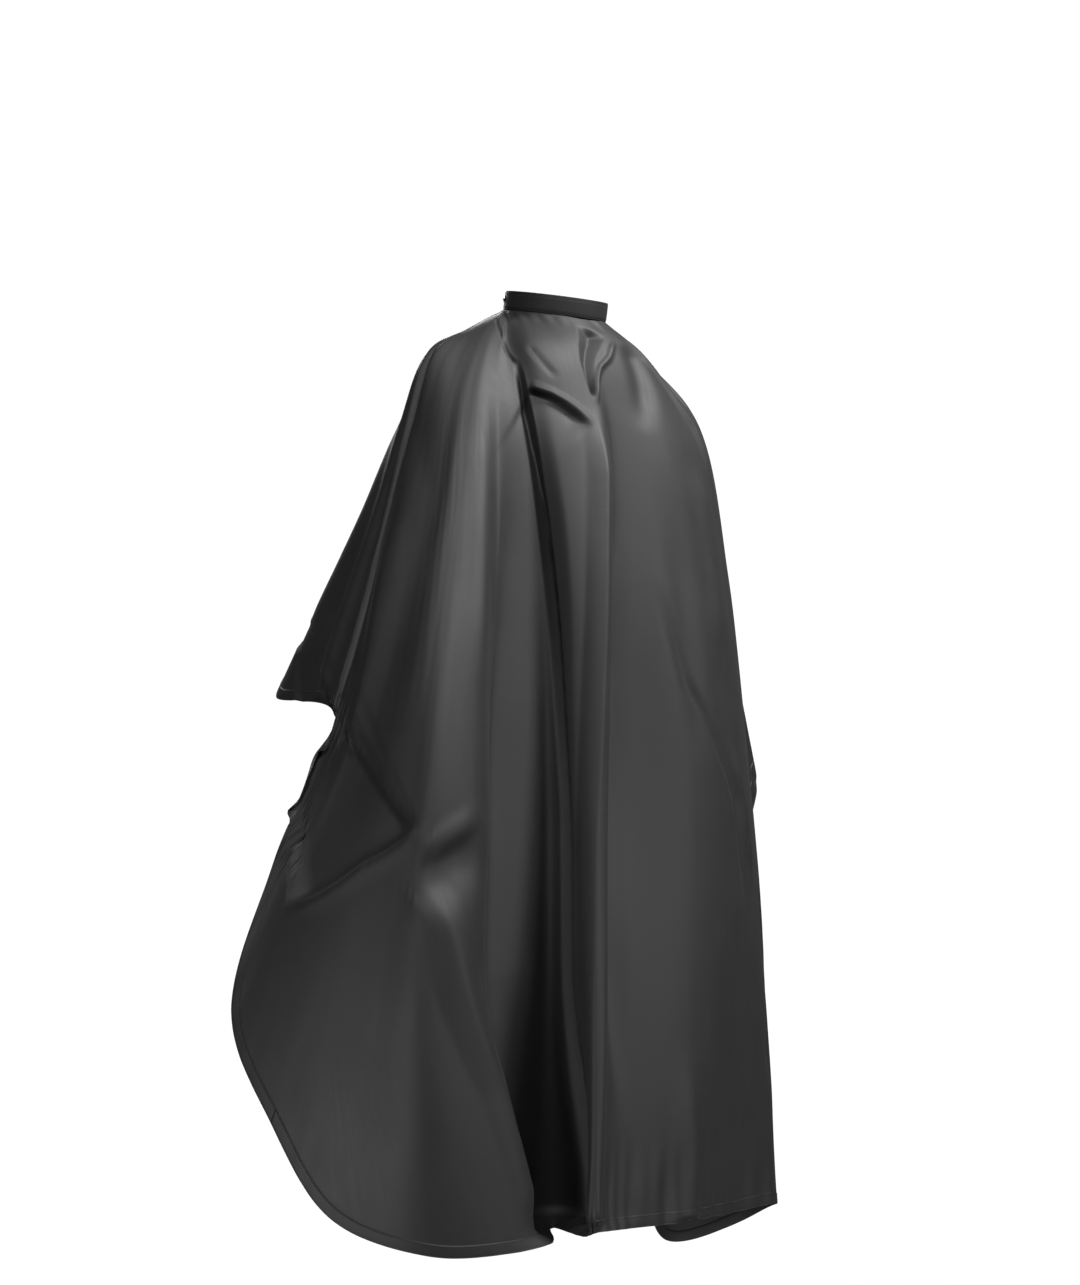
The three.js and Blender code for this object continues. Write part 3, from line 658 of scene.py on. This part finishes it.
def stitches(name, route, normals, lift):
    """A row of lock stitches along a route of close points, each a thread bowed over the cloth."""
    lengths = np.concatenate([[0], np.cumsum(np.linalg.norm(np.diff(route, axis=0), axis=1))])
    starts = np.arange(STITCH_PITCH / 2, lengths[-1] - STITCH_PITCH, STITCH_PITCH)
    points, faces = [], []
    sides, rings = 5, 4
    for start in starts:
        places = start + np.linspace(0, STITCH, rings)
        middle = np.stack([np.interp(places, lengths, axis) for axis in route.T], axis=1)
        up = unit(np.stack([np.interp(places, lengths, axis) for axis in normals.T], axis=1))
        along = unit(middle[-1] - middle[0])
        aside = unit(np.cross(up, along))
        bow = np.sin(np.linspace(0.12, 0.88, rings) * math.pi)
        middle = middle + up * (lift + THREAD * (bow[:, None] - 0.3))
        slim = np.array([0.35, 1, 1, 0.35]) * THREAD
        base = len(points)
        for ring in range(rings):
            for side in range(sides):
                turn = 2 * math.pi * side / sides
                outward = math.cos(turn) * aside[ring] + math.sin(turn) * up[ring]
                points.append(middle[ring] + slim[ring] * outward)
        for ring in range(rings - 1):
            for side in range(sides):
                a = base + ring * sides + side
                b = base + ring * sides + (side + 1) % sides
                faces.append((a, b, b + sides, a + sides))
        faces.append(tuple(base + k for k in range(sides))[::-1])
        faces.append(tuple(base + (rings - 1) * sides + k for k in range(sides)))
    thread = add_object(name, points, faces, THREAD_FINISH)
    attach(thread, "cape")


def settle(piece, slot, *nodes):
    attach(piece, "cape")
    if nodes:
        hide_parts(*nodes)
    return piece


SEAM_SIDE = SEAM_WIDTH / 2 - 0.001  # a panel's edge is tucked this far under its seam strip
TUCK = 0.003  # and this far into its hem
FRONT_SIDES = beside("rightShoulder", SEAM_SIDE), beside("leftShoulder", -SEAM_SIDE)
RIGHT_BACK_SIDES = beside("rightSlit", FACING_WIDTH - TUCK), beside("rightShoulder", -SEAM_SIDE)
LEFT_BACK_SIDES = beside("leftShoulder", SEAM_SIDE), beside("leftSlit", TUCK - FACING_WIDTH)
FRONT_CORNERS = (7 / 42, 36 / 42)  # where the front sheet's hem strips meet, as in the frame


def panel_end(u):
    return above_hem(u, HEM_WIDTH - TUCK)


def hem_stitch_line(u):
    return above_hem(u, HEM_WIDTH * 0.86)


def front_line(share):
    """The line down the front sheet that lies this far from its right side to its left."""
    start, end = FRONT_SIDES
    return lambda v: lerp(start(v), end(v), share)


def cloth_panels():
    """The three panels, each one open sheet from side line to side line."""
    cuts = [
        ("front_sheet", "front_panel", front_line(0), front_line(1), 440, 220),
        ("right_back_sheet", "right_back_panel", *RIGHT_BACK_SIDES, 120, 120),
        ("left_back_sheet", "left_back_panel", *LEFT_BACK_SIDES, 120, 120),
    ]
    sheets = {}
    for name, node, start, end, across, down in cuts:
        u, v = patch(start, end, neck_edge, panel_end, across, down)
        sheets[name] = settle(open_sheet(name, cloth_at(u, v), TAFFETA), "cloth", node)
    return sheets


def hems():
    """The hems, turned twice: full strips round every free edge, with their stitching."""
    right, left = FRONT_CORNERS
    cuts = [
        ("right_side_hem_fold", "right_side_hem", front_line(0), front_line(right), 150),
        ("front_hem_fold", "front_hem", front_line(right), front_line(left), 620),
        ("left_side_hem_fold", "left_side_hem", front_line(left), front_line(1), 150),
        ("right_back_hem_fold", "right_back_hem", *RIGHT_BACK_SIDES, 130),
        ("left_back_hem_fold", "left_back_hem", *LEFT_BACK_SIDES, 130),
    ]
    strips = {}
    for name, node, start, end, across in cuts:
        u, v = patch(start, end, hem_top, hem_edge, across, 6)
        strips[name] = settle(sewn_strip(name, u, v, HEM_TAFFETA), "hem", node)
        row = cloth_at(*patch(start, end, hem_stitch_line, hem_edge, across * 3, 1))
        normals = facing(cloth_at(*patch(start, end, hem_top, hem_edge, across * 3, 2)))
        stitches(name + "_stitching", row[:, 0], normals[:, 0], HEM_THICKNESS * 0.42)
    return strips


def edges_and_seams():
    """The facings of the slit and the felled shoulder seams, each with its stitching."""
    half = SEAM_WIDTH / 2
    cuts = [
        ("right_slit_facing_fold", "right_slit_facing", "rightSlit", 0, FACING_WIDTH, 110, (0.86,)),
        ("left_slit_facing_fold", "left_slit_facing", "leftSlit", -FACING_WIDTH, 0, 110, (0.14,)),
        ("right_shoulder_fell", "right_shoulder_seam", "rightShoulder", -half, half, 200, (0.2, 0.8)),
        ("left_shoulder_fell", "left_shoulder_seam", "leftShoulder", -half, half, 200, (0.2, 0.8)),
    ]
    strips = {}
    for name, node, rail, start, end, down, rows in cuts:
        sides = [beside(rail, side) if side else on_the_rail(rail) for side in (start, end)]
        u, v = patch(*sides, neck_edge, hem_edge, 6, down)
        strips[name] = settle(sewn_strip(name, u, v, HEM_TAFFETA), "hem", node)
        for number, share in enumerate(rows, 1):
            side = lambda v: lerp(sides[0](v), sides[1](v), share)
            near = lambda v: side(v) + 2e-3
            u, v = patch(side, near, neck_edge, hem_edge, 2, down * 3)
            points = cloth_at(u, v)
            row_name = f"{name}_stitching_{number}"
            stitches(row_name, points[0], facing(points)[0], HEM_THICKNESS * 0.42)
    return strips


def care_label():
    """A blank woven label sewn inside the right back, beside the slit."""
    inset = FACING_WIDTH + 0.002
    top, height, width, behind, thickness = 0.026, 0.024, 0.036, 0.0023, 0.0005
    scale = np.linalg.norm(hanging(0.02, 0.05) - hanging(0.02, 0.0)) / 0.05
    u, v = patch(
        beside("rightSlit", inset), beside("rightSlit", inset + width),
        lambda u: 0 * u + top / scale, lambda u: 0 * u + (top + height) / scale, 24, 16,
    )
    points = cloth_at(u, v)
    inward = -facing(points)
    front, back = points + inward * behind, points + inward * (behind + thickness)
    label = closed_strip("blank_care_label", front, back, LABEL_FINISH)
    settle(label, "label", "care_label")


# ---------------------------------------------------------------- neckband, tab and press studs
BAND_FOOT = -0.002  # the band's lower edge covers the top of the cloth
TAB_TIP = -31
TAB_ROOT = BAND_LEFT_END
TAB_RISE_END = -3
TAB_LIFT = 0.0063  # the tab's middle outside the band's middle, over the stud
TAB_CORNER = 0.008
STUD_TURNS = [-20 - k * math.degrees(0.018 / NECK_RADIUS) for k in range(4)]


def band_sweep(name, start, end, material, climb=None, rounding=None, steps=200):
    """A padded band with rounded edges, swept round the neck between two turns."""
    sides = 28
    rows = []
    for degrees in np.linspace(start, end, steps):
        outward = climb(degrees) if climb else 0.0
        pulled = rounding(degrees) if rounding else 0.0
        low, high = BAND_FOOT + pulled, BAND_HEIGHT - pulled
        if climb:
            low = max(low, lerp(BAND_FOOT, 0.0005, min(1.0, outward / 0.002)))
        middle, half = (low + high) / 2, max((high - low) / 2, 1e-4)
        ring = []
        for k in range(sides):
            turn = 2 * math.pi * k / sides
            across, along = math.cos(turn), math.sin(turn)
            flat = math.copysign(abs(across) ** 0.35, across) * BAND_THICKNESS / 2
            tall = math.copysign(abs(along) ** 0.45, along) * half
            pinch = 1 - 0.22 * math.exp(-(((half - abs(tall)) - 0.0022) / 0.0009) ** 2)
            ring.append(on_neckline(degrees, outward + flat * pinch, middle + tall))
        rows.append(ring)
    points = np.array(rows)
    faces = []
    for i in range(steps - 1):
        for k in range(sides):
            a, b = i * sides + k, i * sides + (k + 1) % sides
            faces.append((a, a + sides, b + sides, b))
    faces.append(tuple(range(sides)))
    faces.append(tuple((steps - 1) * sides + k for k in range(sides))[::-1])
    arc = np.radians(np.linspace(start, end, steps)) * NECK_RADIUS
    uvs = [(arc[i], 0.03 * k / sides) for i in range(steps) for k in range(sides)]
    if end < start:
        faces = [face[::-1] for face in faces]
    return add_object(name, points.reshape(-1, 3), faces, material, uvs)


def tab_climb(degrees):
    return TAB_LIFT * smooth((TAB_ROOT - degrees) / (TAB_ROOT - TAB_RISE_END))


def tab_rounding(degrees):
    corner = math.degrees(TAB_CORNER / (NECK_RADIUS + TAB_LIFT))
    past = min(max(TAB_TIP + corner - degrees, 0.0) / corner, 1.0)
    return TAB_CORNER * (1 - math.sqrt(1 - past * past))


def band_stitching(name, start, end, height, climb=None, steps=240):
    turns = np.linspace(start, end, steps)
    rises = [climb(turn) if climb else 0.0 for turn in turns]
    route = np.array([on_neckline(t, r + BAND_THICKNESS * 0.42, height) for t, r in zip(turns, rises)])
    outer = np.array([on_neckline(t, r + 0.01, height) for t, r in zip(turns, rises)])
    stitches(name, route, unit(outer - route), 0.0)


def neckband():
    band = band_sweep("neckband", BAND_RIGHT_END, BAND_LEFT_END, BAND_TAFFETA, steps=260)
    settle(band, "band", "neckband_shell", "neckband_lining")
    band_stitching("neckband_lower_stitching", BAND_RIGHT_END - 2, BAND_LEFT_END + 1, 0.0008)
    band_stitching("neckband_upper_stitching", BAND_RIGHT_END - 2, BAND_LEFT_END + 1, BAND_HEIGHT - 0.0028)
    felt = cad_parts["neckband_stiffener"].data.materials
    felt.clear()
    felt.append(FELT_FINISH)


def closing_tab():
    tab = band_sweep(
        "closing_tab", TAB_ROOT, TAB_TIP, BAND_TAFFETA, climb=tab_climb, rounding=tab_rounding, steps=120
    )
    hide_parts("tab_shell", "tab_lining", "tab_stiffener")
    start = on_neckline(TAB_ROOT - 0.5, 0, BAND_HEIGHT / 2)
    end = on_neckline(TAB_ROOT - 9, 0, BAND_HEIGHT / 2)
    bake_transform(tab)


def turned(name, degrees, profile, body, node):
    """A round moulded piece on the band: profile is radius against distance outside the neckline."""
    sides = 40
    centre = on_neckline(degrees, 0, BAND_HEIGHT / 2)
    out = unit(on_neckline(degrees, 1, BAND_HEIGHT / 2) - centre)
    up = unit(on_neckline(degrees, 0, 1) - on_neckline(degrees, 0, 0))
    aside = np.cross(up, out)
    points, faces = [], []
    for radius, distance in profile:
        for k in range(sides):
            turn = 2 * math.pi * k / sides
            spoke = math.cos(turn) * aside + math.sin(turn) * up
            points.append(centre + out * distance + radius * spoke)
    for ring in range(len(profile) - 1):
        for k in range(sides):
            a, b = ring * sides + k, ring * sides + (k + 1) % sides
            faces.append((a, b, b + sides, a + sides))
    faces.append(tuple(range(sides))[::-1])
    faces.append(tuple((len(profile) - 1) * sides + k for k in range(sides)))
    piece = add_object(name, points, faces, STUD_FINISH)
    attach(piece, body)
    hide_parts(node)


def rounded_rim(radius, low, high, bevel):
    """Outline of a flat disc's edge with both corners rounded."""
    turns = np.linspace(0, math.pi / 2, 4)
    lower = [(radius - bevel + bevel * math.sin(t), low + bevel - bevel * math.cos(t)) for t in turns]
    upper = [(radius - bevel + bevel * math.cos(t), high - bevel + bevel * math.sin(t)) for t in turns]
    return lower + upper


def press_studs():
    face = BAND_THICKNESS / 2
    flange_foot, flange_top = face + 0.0003, face + 0.0009
    backing_foot, backing_top = -flange_top, -flange_foot
    socket_back = flange_top + 0.0003 + 0.0016
    cap_foot = TAB_LIFT + face + 0.0001
    mouth = 0.0026
    turned("stud_cap", STUD_TURNS[0], [
        (0.001, socket_back), (0.001, cap_foot), *rounded_rim(0.0052, cap_foot, cap_foot + 0.0007, 0.0002),
        (0.0042, cap_foot + 0.00078), (0.0036, cap_foot + 0.00062), (0.0030, cap_foot + 0.00085),
        (0.0018, cap_foot + 0.00105), (0.0006, cap_foot + 0.0011),
    ], "tab", "snap_cap")
    turned("stud_socket", STUD_TURNS[0], [
        (0.0008, socket_back - 0.0003), (mouth, socket_back - 0.0003), (mouth, flange_top + 0.0005),
        (mouth + 0.0004, flange_top + 0.0003), (0.0042, flange_top + 0.0003), (0.0045, flange_top + 0.0006),
        (0.0045, socket_back), (0.0008, socket_back),
    ], "tab", "snap_socket")
    for number, turn in enumerate(STUD_TURNS, 1):
        turned(f"stud_{number}", turn, [
            (0.001, -face), (0.001, flange_foot), *rounded_rim(0.004, flange_foot, flange_top, 0.0002),
            (0.0021, flange_top), (0.0016, flange_top + 0.0002), (0.00135, flange_top + 0.0005),
            (0.0016, flange_top + 0.0009), (0.0013, flange_top + 0.0012), (0.0006, flange_top + 0.0013),
        ], "cape", f"snap_stud_{number}")
        turned(f"stud_backing_{number}", turn, [
            (0.0008, backing_foot), *rounded_rim(0.004, backing_foot, backing_top, 0.0002),
            (0.0008, backing_top),
        ], "cape", f"snap_backing_{number}")


# ---------------------------------------------------------------- the picture
CAMERA_TURN = math.radians(-33)  # the camera stands at the wearer's front right
CAMERA_DISTANCE = 2.70
CAMERA_HEIGHT = -0.62
CAMERA_RISE = math.radians(4.2)
CAMERA_ASIDE = math.radians(0.4)  # it looks this far to one side of the cape's middle
LENS, SENSOR = 59.8, 36  # in millimetres
FLOOR = -1.405
FLOOR_RADIUS = 1.6
FLOOR_MIDDLE = 0.3  # the floor is evenly solid this far out, and fades from there to its edge
FLOOR_SOLID = 0.28  # how solid it is in the middle
AMBIENT, SURROUND = 0.025, 1.05  # how bright the surround is for the cloth, and as a backdrop


def camera():
    lens = bpy.data.cameras.new("camera")
    lens.lens = LENS
    lens.sensor_width = SENSOR
    eye = bpy.data.objects.new("camera", lens)
    eye.location = (
        CAMERA_DISTANCE * math.sin(CAMERA_TURN), -CAMERA_DISTANCE * math.cos(CAMERA_TURN), CAMERA_HEIGHT
    )
    eye.rotation_euler = (math.radians(90) + CAMERA_RISE, 0, CAMERA_TURN + CAMERA_ASIDE)
    bpy.context.scene.collection.objects.link(eye)
    bpy.context.scene.camera = eye


def floor():
    """A pale floor, partly see-through, that fades into the white surround."""
    pale = Finish("pale_floor", roughness=0.9, specular_ior_level=0.1)
    grain = pale.noise(pale.space_place(), 6.0, 4.0)
    pale.feed("Base Color", pale.mix(grain, (0.86, 0.86, 0.87, 1), (0.9, 0.9, 0.91, 1)))
    away = pale.node("ShaderNodeVectorMath", {"operation": "LENGTH"}, {0: pale.space_place()}, output=1)
    pale.feed("Alpha", pale.node(
        "ShaderNodeMapRange", {"interpolation_type": "SMOOTHSTEP"},
        {"Value": away, "From Min": FLOOR_MIDDLE, "From Max": FLOOR_RADIUS,
         "To Min": FLOOR_SOLID, "To Max": 0.0},
    ))
    sides = 48
    turns = [2 * math.pi * k / sides for k in range(sides)]
    rim = [(FLOOR_RADIUS * math.cos(t), FLOOR_RADIUS * math.sin(t), 0) for t in turns]
    ground = add_object("floor", rim, [tuple(range(sides))], pale.material, rounded=False)
    ground.location = (0, 0, FLOOR)


def softbox(name, place, target, size, power, spread=180):
    light = bpy.data.lights.new(name, "AREA")
    light.shape = "RECTANGLE"
    light.size, light.size_y = size
    light.energy = power
    light.spread = math.radians(spread)
    lamp = bpy.data.objects.new(name, light)
    lamp.location = place
    lamp.rotation_euler = (Vector(target) - Vector(place)).to_track_quat("-Z", "Y").to_euler()
    bpy.context.scene.collection.objects.link(lamp)


def studio():
    """A white backdrop, with the cloth lit by softboxes and only faintly by the surround."""
    world = bpy.data.worlds.new("studio")
    world.use_nodes = True
    tree = world.node_tree
    background = tree.nodes["Background"]
    background.inputs["Color"].default_value = (1, 1, 1, 1)
    path = tree.nodes.new("ShaderNodeLightPath")
    strength = tree.nodes.new("ShaderNodeMapRange")
    strength.inputs["To Min"].default_value = AMBIENT
    strength.inputs["To Max"].default_value = SURROUND
    tree.links.new(path.outputs["Is Camera Ray"], strength.inputs["Value"])
    tree.links.new(strength.outputs["Result"], background.inputs["Strength"])
    bpy.context.scene.world = world
    bpy.context.scene.view_settings.view_transform = "Standard"
    softbox("key", (1.1, -1.5, 1.8), (0, -0.1, 0.02), (0.9, 0.7), 11.5, spread=55)
    softbox("left", (-1.2, -1.9, 1.8), (-0.15, -0.05, 0.05), (0.8, 0.6), 4, spread=42)
    softbox("low_right", (1.4, -2.2, -0.7), (0.05, -0.2, -1.05), (0.6, 0.6), 1.2, spread=50)
    softbox("low_left", (-2.0, -0.9, -1.1), (-0.35, -0.15, -1.1), (0.6, 0.6), 1.6, spread=50)
    softbox("back", (0.9, 2.5, 1.2), (0, 0, -0.2), (1.4, 1.0), 65)
    softbox("inside", (0.3, 2.2, -0.9), (0, -0.1, -0.6), (1.2, 0.8), 22)


def main():
    camera()
    sheets = cloth_panels()
    strips = hems()
    strips.update(edges_and_seams())
    care_label()
    neckband()
    closing_tab()
    press_studs()
    floor()
    studio()


main()
